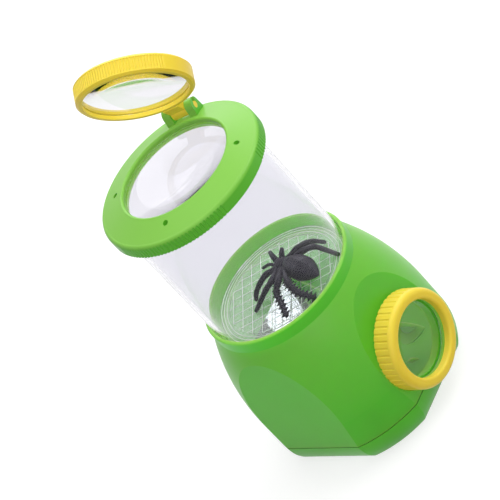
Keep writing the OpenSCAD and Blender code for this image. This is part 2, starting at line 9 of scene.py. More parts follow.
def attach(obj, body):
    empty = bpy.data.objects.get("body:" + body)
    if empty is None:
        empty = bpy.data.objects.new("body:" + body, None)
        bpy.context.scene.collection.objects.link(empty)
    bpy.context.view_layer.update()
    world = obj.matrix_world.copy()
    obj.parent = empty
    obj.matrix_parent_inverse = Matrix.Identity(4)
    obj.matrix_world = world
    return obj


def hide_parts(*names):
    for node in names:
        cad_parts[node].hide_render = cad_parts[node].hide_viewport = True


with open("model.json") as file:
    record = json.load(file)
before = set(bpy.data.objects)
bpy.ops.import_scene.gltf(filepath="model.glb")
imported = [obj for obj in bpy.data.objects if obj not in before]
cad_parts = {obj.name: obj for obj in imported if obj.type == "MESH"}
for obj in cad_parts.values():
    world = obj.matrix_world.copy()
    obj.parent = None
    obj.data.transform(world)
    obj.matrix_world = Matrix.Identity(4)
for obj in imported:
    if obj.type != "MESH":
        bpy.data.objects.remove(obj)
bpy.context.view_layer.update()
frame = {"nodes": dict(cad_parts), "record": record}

MM = 0.001
UP = Vector((0, 0, 1))

# Camera of the photograph, in the part's frame
LENS_PX = 3000.0
FRAME_PX = 500.0
SENSOR_MM = 36.0
CAMERA_ELEVATION = math.radians(32.8)
CAMERA_ROLL = math.radians(-42.9)
CAMERA_TURN = math.radians(34.6)
CAMERA_SIGHT = 20.0
RIM_HEIGHT = 79.0 * MM
# Where the middle of the collar rim lies from the camera: to the right, down and ahead
RIM_FROM_CAMERA_MM = (10.2, 11.0, 1283.7)

# Stage: light of the world on the object, and glow that brings the lit floor up to white
WORLD_LIGHT = 0.30
FLOOR_GLOW = 0.62
FLOOR_HALF = 4.0
FLOOR_ROUGHNESS = 0.9
LAMP_AIM = (0, 0, 0.09)
# Place and width in metres, and power in watts
LAMPS = {
    "key_soft": ((0.62, -0.42, 0.92), 0.9, 7.0),
    "back_soft": ((0.72, 0.48, 0.66), 1.0, 4.0),
    "top_soft": ((-0.1, 0.1, 1.1), 0.9, 2.8),
    "front_soft": ((-0.62, -0.8, 0.62), 1.0, 3.15),
}

# Tones of the pieces, as linear values
GREEN = (0.115, 0.525, 0.022, 1)
GREEN_DEEP = (0.095, 0.480, 0.016, 1)
# Painted light: the paler green that faces looking up get, as if lit from above
GREEN_PAINTED_TOP_LIGHT = (0.225, 0.560, 0.066, 1)
# Painted light: the much paler green that faces looking at the jar axis get, brightening the inner walls
GREEN_PAINTED_INNER_LIGHT = (0.400, 0.920, 0.240, 1)
# Painted shade: the dark green painted into the groove between the two base mouldings
GREEN_SEAM_SHADE = (0.040, 0.260, 0.010, 1)
YELLOW = (0.930, 0.720, 0.050, 1)
YELLOW_DEEP = (0.950, 0.660, 0.025, 1)
# Painted light: the paler yellow that faces looking up get, as if lit from above
YELLOW_PAINTED_TOP_LIGHT = (0.960, 0.750, 0.070, 1)
CLEAR = (0.835, 0.830, 0.870, 1)
DISC_CLEAR = (0.930, 0.985, 0.935, 1)
LENS_CLEAR = (0.830, 0.822, 0.850, 1)
# Painted reflection: grey drawn into streaks across the lenses, in place of the swirls they show
LENS_REFLECTION_GREY = (0.690, 0.680, 0.720, 1)
LINE_WHITE = (0.900, 0.940, 0.900, 1)
LINE_GREY = (0.780, 0.840, 0.780, 1)
SILVER = (0.93, 0.92, 0.90, 1)
STEEL = (0.52, 0.53, 0.55, 1)
CHARCOAL = (0.014, 0.012, 0.021, 1)
CHARCOAL_DEEP = (0.005, 0.0045, 0.009, 1)
WHITE = (1, 1, 1, 1)
PAPER_WHITE = (0.50, 0.50, 0.50, 1)
SOFT_GLINT = (0.5, 0.5, 0.5, 1)

# Noise of every skin: slow clouds of tone and gloss, and fine grain; the lower a gloss, the shinier
CLOUD_SCALE = 30.0
CLOUD_DETAIL = 3.0
GRAIN_SCALE = 2500.0
GRAIN_DETAIL = 2.0
NOISE_ROUGHNESS = 0.5
GRAIN_DEPTH = 0.02 * MM
GRAIN_STRENGTH = 0.5
GLOSS_SWING = 0.12
EVEN = (1, 1, 1)
# How fast the painted top light grows as a face turns to look up
TOP_LIGHT_POWER = 0.6

# Plastic: light seeps through its walls, and goes deeper in the green mouldings than in the rest
PLASTIC_GLOSS = 0.30
PLASTIC_IOR = 1.49
PLASTIC_SHINE = 0.3
WALL_LETS_IN = 0.75
GREEN_GLOW = (0.5, 1.0, 0.25)
YELLOW_GLOW = (1.0, 0.7, 0.1)
DEEP_GLOW = 9 * MM
THIN_GLOW = 1 * MM
GREEN_GLOW_SHARE = 0.9
GRIP_GLOW_SHARE = 0.1
YELLOW_GLOW_SHARE = 0.2
EDGE_ROUND = 0.1 * MM
EDGE_SAMPLES = 8
# Height and half width of the band of painted shade in the seam groove
SEAM_Z = 12.25 * MM
SEAM_REACH = 0.35 * MM

# Clear mouldings: how much light gets in, and how they bend it
LIGHT_LET_IN = 0.99
CLEAR_SWING = 0.02
CLEAR_IOR = 1.3
JAR_CLEARNESS = 0.99
DISC_GLOSS = 0.03
DISC_CLEARNESS = 0.9
LENS_IOR = 1.31
LENS_CLEARNESS = 1.0
# Stretch of the painted reflection streaks across the lenses
LENS_REFLECTION_STREAK = (0.6, 4.0, 2.0)

# Lines, metal and rubber
LINE_GLOSS = 0.5
METAL_GRAIN_DEPTH = 0.004 * MM
MIRROR_GLOSS = 0.02
MIRROR_SWING = 0.01
STEEL_GLOSS = 0.25
STEEL_SWING = 0.15
RUBBER_GLOSS = 0.38
RUBBER_SWING = 0.2
RUBBER_SHINE = 0.2
RUBBER_GRAIN_SCALE = 900.0
RUBBER_CLOUD_SCALE = 260.0


# Node helpers

TONE_SOCKET = "NodeSocketColor"
VALUE_SOCKET = "NodeSocketFloat"
VECTOR_SOCKET = "NodeSocketVector"
SHAPE_SOCKET = "NodeSocketGeometry"
FINISH_SOCKET = "NodeSocketMaterial"
# Places of the colour sockets among all sockets of a Mix node
MIX_FIRST = 6
MIX_SECOND = 7
MIX_RESULT = 2


def group_tree(name, kind, inputs, outputs):
    """A node group with named sockets, and the sockets at its two ends."""
    tree = bpy.data.node_groups.new(name, kind)
    for side, sockets in (("INPUT", inputs), ("OUTPUT", outputs)):
        for label, socket_type in sockets.items():
            tree.interface.new_socket(name=label, in_out=side, socket_type=socket_type)
    return tree, tree.nodes.new("NodeGroupInput").outputs, tree.nodes.new("NodeGroupOutput").inputs


def feed(tree, socket, value):
    """Links another node's output to a socket, or sets the socket to a plain value."""
    if isinstance(value, bpy.types.NodeSocket):
        tree.links.new(value, socket)
    else:
        socket.default_value = value


def add_node(tree, kind, **values):
    """A node whose inputs, each named with _ for a space, are fed with the values."""
    node = tree.nodes.new(kind)
    for name, value in values.items():
        feed(tree, node.inputs[name.replace("_", " ")], value)
    return node


def math_node(tree, operation, *values):
    node = tree.nodes.new("ShaderNodeMath")
    node.operation = operation
    for socket, value in zip(node.inputs, values):
        feed(tree, socket, value)
    return node.outputs["Value"]


def vector_node(tree, operation, *values):
    node = tree.nodes.new("ShaderNodeVectorMath")
    node.operation = operation
    for socket, value in zip(node.inputs, values):
        feed(tree, socket, value)
    return node.outputs["Value" if operation == "DOT_PRODUCT" else "Vector"]


def colour_mix(tree, share, first, second):
    """The first colour, with this share of the second in it."""
    mix = tree.nodes.new("ShaderNodeMix")
    mix.data_type = "RGBA"
    feed(tree, mix.inputs["Factor"], share)
    feed(tree, mix.inputs[MIX_FIRST], first)
    feed(tree, mix.inputs[MIX_SECOND], second)
    return mix.outputs[MIX_RESULT]


def noise(tree, place, scale, detail):
    node = add_node(tree, "ShaderNodeTexNoise", Vector=place, Scale=scale, Detail=detail,
                    Roughness=NOISE_ROUGHNESS)
    return node.outputs["Fac"]


# Skin that the materials share

def facing_up(tree, normal):
    """The share of painted top light: 0 on faces that look sideways or down, and up to 1 on faces that
    look up.
    """
    upward = add_node(tree, "ShaderNodeSeparateXYZ", Vector=normal).outputs["Z"]
    return math_node(tree, "POWER", math_node(tree, "MAXIMUM", upward, 0.0), TOP_LIGHT_POWER)


def facing_axis(tree, place, normal):
    """The share of painted inner light: 1 on faces that look at the jar axis, and 0 on faces that look
    away from it.
    """
    outward = vector_node(tree, "NORMALIZE", vector_node(tree, "MULTIPLY", place, (1, 1, 0)))
    away = vector_node(tree, "DOT_PRODUCT", outward, normal)
    return math_node(tree, "MAXIMUM", math_node(tree, "MULTIPLY", away, -1.0), 0.0)


def moulded_skin():
    """Slow colour clouds, fine grain and uneven gloss, with painted light on faces that look up and on
    faces that look at the jar axis.
    """
    tree, given, result = group_tree("moulded_skin", "ShaderNodeTree", {
        "Tone": TONE_SOCKET, "Deep Tone": TONE_SOCKET, "Painted Top Light": TONE_SOCKET,
        "Painted Inner Light": TONE_SOCKET, "Cloud Scale": VALUE_SOCKET, "Grain Scale": VALUE_SOCKET,
        "Stretch": VECTOR_SOCKET, "Gloss Low": VALUE_SOCKET, "Gloss Swing": VALUE_SOCKET,
    }, {"Colour": TONE_SOCKET, "Roughness": VALUE_SOCKET, "Height": VALUE_SOCKET})
    coordinates = tree.nodes.new("ShaderNodeTexCoord").outputs
    place, normal = coordinates["Object"], coordinates["Normal"]
    drawn_out = vector_node(tree, "MULTIPLY", place, given["Stretch"])
    clouds = noise(tree, drawn_out, given["Cloud Scale"], CLOUD_DETAIL)
    cloudy = colour_mix(tree, clouds, given["Tone"], given["Deep Tone"])
    # Painted light: faces that look up turn paler, and faces that look at the jar axis paler still
    top_lit = colour_mix(tree, facing_up(tree, normal), cloudy, given["Painted Top Light"])
    inner_light = facing_axis(tree, place, normal)
    feed(tree, result["Colour"], colour_mix(tree, inner_light, top_lit, given["Painted Inner Light"]))
    swing = math_node(tree, "MULTIPLY", clouds, given["Gloss Swing"])
    feed(tree, result["Roughness"], math_node(tree, "ADD", swing, given["Gloss Low"]))
    feed(tree, result["Height"], noise(tree, place, given["Grain Scale"], GRAIN_DETAIL))
    return tree


SKIN = moulded_skin()


def new_material(name):
    """A material with nodes, and its shader."""
    material = bpy.data.materials.new(name)
    material.use_nodes = True
    return material, material.node_tree.nodes["Principled BSDF"]


def skin_material(name, tone, deep, gloss, swing=GLOSS_SWING, grain=GRAIN_SCALE, depth=GRAIN_DEPTH,
                  cloud=CLOUD_SCALE, stretch=EVEN, top_light=None, inner_light=None):
    """A material fed by the skin; one even tone goes on the shader itself, and no depth means no grain."""
    material, shader = new_material(name)
    tree = material.node_tree
    group = tree.nodes.new("ShaderNodeGroup")
    group.node_tree = SKIN
    for label, value in (("Tone", tone), ("Deep Tone", deep), ("Painted Top Light", top_light or tone),
                         ("Painted Inner Light", inner_light or tone), ("Cloud Scale", cloud),
                         ("Grain Scale", grain), ("Stretch", stretch), ("Gloss Low", gloss),
                         ("Gloss Swing", swing)):
        group.inputs[label].default_value = value
    feed(tree, shader.inputs["Base Color"], tone if tone == deep else group.outputs["Colour"])
    feed(tree, shader.inputs["Roughness"], group.outputs["Roughness"])
    if depth:
        bump = add_node(tree, "ShaderNodeBump", Strength=GRAIN_STRENGTH, Distance=depth,
                        Height=group.outputs["Height"])
        feed(tree, shader.inputs["Normal"], bump.outputs["Normal"])
    return material, shader


# Materials

def lets_light_in(material, share):
    """Shadow and diffuse rays pass this share of a surface, as light seeps through a thin wall."""
    tree = material.node_tree
    path = tree.nodes.new("ShaderNodeLightPath").outputs
    passing = math_node(tree, "MAXIMUM", path["Is Shadow Ray"], path["Is Diffuse Ray"])
    seeping = math_node(tree, "MULTIPLY", passing, share)
    stopped = math_node(tree, "SUBTRACT", 1.0, seeping)
    feed(tree, tree.nodes["Principled BSDF"].inputs["Alpha"], stopped)


def soften_edges(material):
    """Shades the edges of a moulding a little rounded, under its grain."""
    tree = material.node_tree
    edge = add_node(tree, "ShaderNodeBevel", Radius=EDGE_ROUND)
    edge.samples = EDGE_SAMPLES
    feed(tree, tree.nodes["Bump"].inputs["Normal"], edge.outputs["Normal"])


def paint_seam_shade(material):
    """Paints shade into the groove between the two base mouldings, darkening the colour there."""
    tree = material.node_tree
    tone = tree.nodes["Principled BSDF"].inputs["Base Color"]
    place = tree.nodes.new("ShaderNodeTexCoord").outputs["Object"]
    height = add_node(tree, "ShaderNodeSeparateXYZ", Vector=place).outputs["Z"]
    in_groove = math_node(tree, "COMPARE", height, SEAM_Z, SEAM_REACH)
    feed(tree, tone, colour_mix(tree, in_groove, tone.links[0].from_socket, GREEN_SEAM_SHADE))


def plastic(name, tone, deep, top_light, inner_light, glow, glow_depth, glow_share):
    material, shader = skin_material(name, tone, deep, PLASTIC_GLOSS, top_light=top_light, inner_light=inner_light)
    lets_light_in(material, WALL_LETS_IN)
    soften_edges(material)
    shader.inputs["IOR"].default_value = PLASTIC_IOR
    shader.inputs["Specular IOR Level"].default_value = PLASTIC_SHINE
    shader.inputs["Subsurface Weight"].default_value = glow_share
    shader.inputs["Subsurface Radius"].default_value = glow
    shader.inputs["Subsurface Scale"].default_value = glow_depth
    return material


def green_plastic():
    """The green mouldings, with painted light on faces that look up and on faces that look at the jar
    axis, and painted shade in the seam groove.
    """
    material = plastic("green_plastic", GREEN, GREEN_DEEP, GREEN_PAINTED_TOP_LIGHT, GREEN_PAINTED_INNER_LIGHT,
                       GREEN_GLOW, DEEP_GLOW, GREEN_GLOW_SHARE)
    paint_seam_shade(material)
    return material


def green_grip():
    """The lid, whose fine ribs would blur if light went deep; painted light on its faces that look up and
    on those that look at the jar axis.
    """
    return plastic("green_grip", GREEN, GREEN_DEEP, GREEN_PAINTED_TOP_LIGHT, GREEN_PAINTED_TOP_LIGHT,
                   GREEN_GLOW, THIN_GLOW, GRIP_GLOW_SHARE)


def yellow_plastic():
    # Painted light: faces that look up get the paler yellow
    return plastic("yellow_plastic", YELLOW, YELLOW_DEEP, YELLOW_PAINTED_TOP_LIGHT, YELLOW,
                   YELLOW_GLOW, THIN_GLOW, YELLOW_GLOW_SHARE)


def clear(name, tone, gloss, ior, clearness, deep=None):
    """Clear moulding that lets shadow and diffuse rays through, so that light gets inside; a second tone,
    when given, is drawn into streaks of painted reflection.
    """
    material, shader = skin_material(name, tone, deep or tone, gloss, swing=CLEAR_SWING, depth=0.0,
                                     stretch=LENS_REFLECTION_STREAK if deep else EVEN)
    lets_light_in(material, LIGHT_LET_IN)
    shader.inputs["Transmission Weight"].default_value = clearness
    shader.inputs["IOR"].default_value = ior
    shader.inputs["Specular Tint"].default_value = SOFT_GLINT
    return material


def metal(name, tone, gloss, swing):
    material, shader = skin_material(name, tone, tone, gloss, swing=swing, depth=METAL_GRAIN_DEPTH)
    shader.inputs["Metallic"].default_value = 1.0
    return material


def spider_rubber():
    material, shader = skin_material("spider_rubber", CHARCOAL, CHARCOAL_DEEP, RUBBER_GLOSS,
                                     swing=RUBBER_SWING, grain=RUBBER_GRAIN_SCALE,
                                     cloud=RUBBER_CLOUD_SCALE)
    shader.inputs["Specular IOR Level"].default_value = RUBBER_SHINE
    return material


def make_materials():
    return {
        "green_plastic": green_plastic(),
        "green_grip": green_grip(),
        "yellow_plastic": yellow_plastic(),
        "clear_plastic": clear("clear_plastic", CLEAR, 0.0, CLEAR_IOR, JAR_CLEARNESS),
        "clear_disc": clear("clear_disc", DISC_CLEAR, DISC_GLOSS, CLEAR_IOR, DISC_CLEARNESS),
        "lens_clear": clear("lens_clear", LENS_CLEAR, 0.0, LENS_IOR, LENS_CLEARNESS,
                            deep=LENS_REFLECTION_GREY),
        "line_white": skin_material("line_white", LINE_WHITE, LINE_GREY, LINE_GLOSS)[0],
        "mirror_silver": metal("mirror_silver", SILVER, MIRROR_GLOSS, MIRROR_SWING),
        "screw_steel": metal("screw_steel", STEEL, STEEL_GLOSS, STEEL_SWING),
        "spider_rubber": spider_rubber(),
    }


def dress_nodes(materials):
    """Gives each carried-over node the better material of its slot, and the lid its own green."""
    slots = {part["node"]: part["material_slot"] for part in frame["record"]["subparts"]}
    slots["lid"] = "green_grip"
    for name, part in frame["nodes"].items():
        for slot in part.material_slots:
            slot.material = materials[slots[name]]


# Stage

def camera_axes():
    """Right, down and forward of the picture, in the part's frame."""
    right = Vector((1, 0, 0))
    forward = Vector((0, math.cos(CAMERA_ELEVATION), -math.sin(CAMERA_ELEVATION)))
    up = right.cross(forward)
    across = right * math.cos(CAMERA_ROLL) + up * math.sin(CAMERA_ROLL)
    down = right * math.sin(CAMERA_ROLL) - up * math.cos(CAMERA_ROLL)
    turn = Matrix.Rotation(-CAMERA_TURN, 3, "Z")
    return turn @ across, turn @ down, turn @ forward


def place_camera():
    across, down, forward = camera_axes()
    right_mm, down_mm, ahead_mm = RIM_FROM_CAMERA_MM
    from_camera = across * right_mm * MM + down * down_mm * MM + forward * ahead_mm * MM
    data = bpy.data.cameras.new("photo_camera")
    data.sensor_width = SENSOR_MM
    data.lens = LENS_PX / FRAME_PX * SENSOR_MM
    data.clip_end = CAMERA_SIGHT
    camera = bpy.data.objects.new("photo_camera", data)
    rotation = Matrix((across, -down, -forward)).transposed()
    camera.matrix_world = Matrix.Translation(UP * RIM_HEIGHT - from_camera) @ rotation.to_4x4()
    bpy.context.collection.objects.link(camera)
    bpy.context.scene.camera = camera


def seen_directly(tree):
    """1 for camera, mirror-like and see-through rays, 0 for the rest."""
    path = tree.nodes.new("ShaderNodeLightPath").outputs
    first = math_node(tree, "MAXIMUM", path["Is Camera Ray"], path["Is Glossy Ray"])
    return math_node(tree, "MAXIMUM", first, path["Is Transmission Ray"])


def white_world():
    """Plain white where it is seen, and a weaker light on the object."""
    world = bpy.data.worlds.new("studio")
    bpy.context.scene.world = world
    world.use_nodes = True
    tree = world.node_tree
    back = tree.nodes["Background"]
    back.inputs["Color"].default_value = WHITE
    extra = math_node(tree, "MULTIPLY", seen_directly(tree), 1.0 - WORLD_LIGHT)
    feed(tree, back.inputs["Strength"], math_node(tree, "ADD", extra, WORLD_LIGHT))


def floor_paper():
    """Dull paper that keeps the object's shadow, with a glow that only shows where it is seen."""
    material, shader = new_material("floor_paper")
    tree = material.node_tree
    shader.inputs["Base Color"].default_value = PAPER_WHITE
    shader.inputs["Roughness"].default_value = FLOOR_ROUGHNESS
    shader.inputs["Specular IOR Level"].default_value = 0.0
    shader.inputs["Emission Color"].default_value = WHITE
    glow = math_node(tree, "MULTIPLY", seen_directly(tree), FLOOR_GLOW)
    feed(tree, shader.inputs["Emission Strength"], glow)
    return material


def make_floor():
    mesh = bpy.data.meshes.new("studio_floor")
    corners = [(x * FLOOR_HALF, y * FLOOR_HALF, 0) for x, y in ((-1, -1), (1, -1), (1, 1), (-1, 1))]
    mesh.from_pydata(corners, [], [(0, 1, 2, 3)])
    mesh.materials.append(floor_paper())
    floor = bpy.data.objects.new("studio_floor", mesh)
    bpy.context.collection.objects.link(floor)


def area_lamp(name, place, width, power):
    data = bpy.data.lights.new(name, "AREA")
    data.shape = "DISK"
    data.size = width
    data.energy = power
    lamp = bpy.data.objects.new(name, data)
    place = Vector(place)
    facing = (Vector(LAMP_AIM) - place).to_track_quat("-Z", "Y")
    lamp.matrix_world = Matrix.Translation(place) @ facing.to_matrix().to_4x4()
    bpy.context.collection.objects.link(lamp)


def light_stage():
    bpy.context.scene.view_settings.view_transform = "Standard"
    white_world()
    make_floor()
    for name, (place, width, power) in LAMPS.items():
        area_lamp(name, place, width, power)


# Mesh helpers

def finish_mesh(name, mesh, material):
    """Closes a bmesh into a linked, smoothly shaded object with outward faces."""
    bmesh.ops.recalc_face_normals(mesh, faces=mesh.faces)
    data = bpy.data.meshes.new(name)
    mesh.to_mesh(data)
    mesh.free()
    data.materials.append(material)
    for face in data.polygons:
        face.use_smooth = True
    piece = bpy.data.objects.new(name, data)
    bpy.context.collection.objects.link(piece)
    return piece


def turns(sides):
    """Angles of the corners of one ring."""
    return [2 * math.pi * j / sides for j in range(sides)]


def join_rings(mesh, rings):
    """Four-sided faces from each ring to the next."""
    for low, high in zip(rings, rings[1:]):
        for j in range(len(low)):
            after = (j + 1) % len(low)
            mesh.faces.new((low[j], low[after], high[after], high[j]))


def lines_mesh(name, paths):
    """A mesh of bare edges along each path of points, in metres."""
    verts, edges = [], []
    for path in paths:
        edges += [(len(verts) + k, len(verts) + k + 1) for k in range(len(path) - 1)]
        verts += [tuple(point) for point in path]
    mesh = bpy.data.meshes.new(name)
    mesh.from_pydata(verts, edges, [])
    return mesh


def run_tree(name, tree, base, values):
    """Runs a geometry tree on a base mesh and returns the plain result."""
    holder = bpy.data.objects.new(name + "_base", base)
    bpy.context.collection.objects.link(holder)
    modifier = holder.modifiers.new("make", "NODES")
    modifier.node_group = tree
    for item in tree.interface.items_tree:
        if item.in_out == "INPUT" and item.name in values:
            modifier[item.identifier] = values[item.name]
    shown = holder.evaluated_get(bpy.context.evaluated_depsgraph_get())
    data = bpy.data.meshes.new_from_object(shown)
    data.name = name
    bpy.data.objects.remove(holder)
    piece = bpy.data.objects.new(name, data)
    bpy.context.collection.objects.link(piece)
    return piece


def close_tree(tree, given, shape, result):
    """Realizes the instances and sets the finish, as every geometry tree ends."""
    real = add_node(tree, "GeometryNodeRealizeInstances", Geometry=shape)
    finished = add_node(tree, "GeometryNodeSetMaterial", Geometry=real.outputs["Geometry"],
                        Material=given["Finish"])
    feed(tree, result["Geometry"], finished.outputs["Geometry"])


# Toy spider

# Joints of each limb from hip to foot in millimetres: x and y in the part's frame, z over the disc
SMOOTH_LEGS = {
    "left_first": [(4.3, 1.4, 4.6), (-1.2, 2.1, 7.6), (-5.2, 4.7, 6.3), (-7.3, 8.0, 3.2),
                   (-9.2, 8.8, 0.9)],
    "left_second": [(3.6, 0.2, 4.6), (-5.0, -3.2, 7.6), (-8.9, -0.8, 6.3), (-11.5, 2.8, 3.2),
                    (-15.4, 5.5, 0.9)],
    "right_third": [(8.7, -4.4, 4.6), (10.9, -13.2, 7.4), (13.8, -16.6, 6.0), (14.3, -20.0, 3.2),
                    (12.5, -27.2, 0.9)],
    "right_second": [(9.2, -2.7, 4.6), (12.0, -8.8, 7.6), (15.9, -11.3, 6.5), (19.3, -12.0, 3.5),
                     (20.4, -15.8, 0.9)],
    "right_first": [(8.7, -0.2, 4.8), (10.8, 0.0, 6.6), (13.4, 1.1, 6.8)],
    "front_short": [(7.7, 2.0, 4.4), (10.7, 6.1, 5.3), (15.0, 11.7, 3.2)],
}
TOOTHED_LEGS = {
    "left_third": [(4.2, -2.0, 4.6), (-5.5, -7.6, 7.8), (-10.6, -8.1, 6.3), (-13.9, -10.6, 4.0),
                   (-19.1, -14.5, 0.9)],
    "left_fourth": [(3.6, -4.0, 4.6), (-6.0, -13.0, 7.4), (-9.7, -18.4, 5.3), (-10.4, -22.7, 3.0),
                    (-10.5, -26.2, 0.9)],
}
FEELERS = {
    "left_feeler": [(6.6, 3.0, 4.2), (7.7, 8.0, 3.8), (8.1, 13.6, 1.4)],
}
DISC_TOP_MM = 74.2

# Limbs: radii at hip and foot, and how they thin and swell on the way
LEG_THICK_MM = 1.45
LEG_THIN_MM = 0.95
TOOTHED_THICK_MM = 1.6
FEELER_MM = 0.75
LEG_SIDES = 12
LEG_STEPS = 7
THINNING_POWER = 1.4
KNUCKLES = 4
KNUCKLE_SWELL = 0.10
END_DOME_SHARE = 0.6

# Body: places over the disc, half sizes along, across and up, and the swell of each lobe
CHEST_AT_MM = (6.6, -1.3, 4.3)
CHEST_SIZE_MM = (4.9, 3.9, 3.1)
NOTCH_DEPTH = 0.14
NOTCH_AT_SHARE = 0.68
NOTCH_REACH_SHARE = 0.06
BELLY_AT_MM = (3.0, -14.7, 5.2)
BELLY_SIZE_MM = (13.2, 5.4, 4.3)
BELLY_FULL = 1.06
BELLY_DRAW_IN = 0.5
DRAW_IN_FROM_SHARE = 0.8
TAIL_SHARE = 0.42
TAIL_POWER = 0.35
FOLD_DEPTH = 0.016
FOLD_WAVES = 30
FOLDS_FROM_SHARE = 0.25
RIDGE_HEIGHT = 0.05
RIDGES = 7
BODY_HEADING = math.radians(68.5)
LOBE_SIDES = 96
LOBE_RINGS = 48

# Legs with teeth, and the spacing, width and length of the teeth in millimetres
TEETH = {
    "big": (TOOTHED_LEGS, 1.8, 1.25, 2.7),
    "small": ({name: SMOOTH_LEGS[name] for name in ("left_first", "left_second")}, 1.9, 1.0, 2.0),
}
TEETH_FROM_SHARE = 0.2
TEETH_TO_SHARE = 0.97
TOOTH_SIDES = 6


def through(points):
    """Points along a smooth curve through the given ones, with the share of the way at each."""
    line = [Vector(point) for point in points]
    ends = [line[0] * 2 - line[1]] + line + [line[-1] * 2 - line[-2]]
    result = []
    for k in range(len(line) - 1):
        a, b, c, d = ends[k:k + 4]
        for step in range(LEG_STEPS + (k == len(line) - 2)):
            t = step / LEG_STEPS
            place = 0.5 * (2 * b + (c - a) * t + (2 * a - 5 * b + 4 * c - d) * t ** 2
                           + (3 * b - a - 3 * c + d) * t ** 3)
            result.append((place, (k + t) / (len(line) - 1)))
    return result


def limb_path(points):
    """The curve of a limb over the disc, in metres."""
    return through([Vector((x, y, z + DISC_TOP_MM)) * MM for x, y, z in points])


def domed(line, radius_at):
    """Places and radii along a line, with one smaller ring past each end."""
    places = [place for place, share in line]
    radii = [radius_at(share) for place, share in line]
    first = (places[0] - places[1]).normalized() * radii[0] * END_DOME_SHARE
    last = (places[-1] - places[-2]).normalized() * radii[-1] * END_DOME_SHARE
    return ([places[0] + first] + places + [places[-1] + last],
            [radii[0] * END_DOME_SHARE] + radii + [radii[-1] * END_DOME_SHARE])


def add_tube(mesh, line, radius_at):
    """A closed round tube along the line, with a domed end at each side."""
    places, radii = domed(line, radius_at)
    side = UP.cross(places[0] - places[1]).normalized()
    rings = []
    for k, place in enumerate(places):
        ahead = (places[min(k + 1, len(places) - 1)] - places[max(k - 1, 0)]).normalized()
        side = (side - ahead * side.dot(ahead)).normalized()
        rise = ahead.cross(side)
        rings.append([mesh.verts.new(place + (side * math.cos(turn) + rise * math.sin(turn)) * radii[k])
                      for turn in turns(LEG_SIDES)])
    join_rings(mesh, rings)
    mesh.faces.new(rings[0][::-1])
    mesh.faces.new(rings[-1])


def limb_radius(thick, thin):
    """Radius along a limb: full at the hip, knuckled at the joints, thin at the foot."""
    def radius_at(share):
        knuckle = KNUCKLE_SWELL * math.cos(2 * math.pi * KNUCKLES * share)
        return MM * (thick + (thin - thick) * share ** THINNING_POWER) * (1 + knuckle * (1 - share))
    return radius_at


def make_spider_legs(material):
    mesh = bmesh.new()
    for limbs, thick, thin in ((SMOOTH_LEGS, LEG_THICK_MM, LEG_THIN_MM),
                               (TOOTHED_LEGS, TOOTHED_THICK_MM, LEG_THIN_MM),
                               (FEELERS, FEELER_MM, FEELER_MM)):
        for points in limbs.values():
            add_tube(mesh, limb_path(points), limb_radius(thick, thin))
    return finish_mesh("spider_legs", mesh, material)


def add_lobe(mesh, centre, size, shape):
    """An egg-shaped lobe; shape(share, turn) gives the swell at a share of the way from tail to head."""
    before = set(mesh.verts)
    bmesh.ops.create_uvsphere(mesh, u_segments=LOBE_SIDES, v_segments=LOBE_RINGS, radius=1.0)
    heading = Matrix.Rotation(BODY_HEADING, 3, "Z")
    place = Vector(centre) + UP * DISC_TOP_MM
    for vert in set(mesh.verts) - before:
        x, y, z = vert.co
        along = Vector((z, y, x))
        swell = shape((along.x + 1) / 2, math.atan2(along.z, along.y))
        point = Vector((along.x * size[0], along.y * size[1] * swell, along.z * size[2] * swell))
        vert.co = (heading @ point + place) * MM


def belly_shape(share, turn):
    """Pointed tail, full middle, shallow folds across the back and ridges along it."""
    back = max(0.0, math.sin(turn))
    fold = FOLD_DEPTH * math.cos(share * FOLD_WAVES) * back * (share > FOLDS_FROM_SHARE)
    ridge = RIDGE_HEIGHT * math.cos(turn * RIDGES) * back * math.sin(math.pi * share)
    tail = min(1.0, share / TAIL_SHARE) ** TAIL_POWER
    full = BELLY_FULL - BELLY_DRAW_IN * max(0.0, share - DRAW_IN_FROM_SHARE)
    return full * tail + fold + ridge


def chest_shape(share, turn):
    """Flat shield with a notch behind the head."""
    return 1.0 - NOTCH_DEPTH * math.exp(-((share - NOTCH_AT_SHARE) / NOTCH_REACH_SHARE) ** 2)


def make_spider_body(material):
    mesh = bmesh.new()
    add_lobe(mesh, BELLY_AT_MM, BELLY_SIZE_MM, belly_shape)
    add_lobe(mesh, CHEST_AT_MM, CHEST_SIZE_MM, chest_shape)
    return finish_mesh("spider_body", mesh, material)


def teeth_tree():
    """Two rows of small cones, left and right of every line of the base mesh."""
    tree, given, result = group_tree("leg_teeth", "GeometryNodeTree", {
        "Geometry": SHAPE_SOCKET, "Spacing": VALUE_SOCKET, "Tooth Width": VALUE_SOCKET,
        "Tooth Length": VALUE_SOCKET, "Finish": FINISH_SOCKET}, {"Geometry": SHAPE_SOCKET})
    curve = add_node(tree, "GeometryNodeMeshToCurve", Mesh=given["Geometry"])
    points = add_node(tree, "GeometryNodeCurveToPoints", Curve=curve.outputs["Curve"])
    points.mode = "LENGTH"
    feed(tree, points.inputs["Length"], given["Spacing"])
    cone = add_node(tree, "GeometryNodeMeshCone", Vertices=TOOTH_SIDES,
                    Radius_Bottom=given["Tooth Width"], Depth=given["Tooth Length"])
    rows = tree.nodes.new("GeometryNodeJoinGeometry")
    for side in (1, -1):
        across = vector_node(tree, "MULTIPLY", points.outputs["Normal"], (side, side, side))
        turn = add_node(tree, "FunctionNodeAlignRotationToVector", Vector=across)
        turn.axis = "Z"
        row = add_node(tree, "GeometryNodeInstanceOnPoints", Points=points.outputs["Points"],
                       Instance=cone.outputs["Mesh"], Rotation=turn.outputs["Rotation"])
        feed(tree, rows.inputs["Geometry"], row.outputs["Instances"])
    close_tree(tree, given, rows.outputs["Geometry"], result)
    return tree


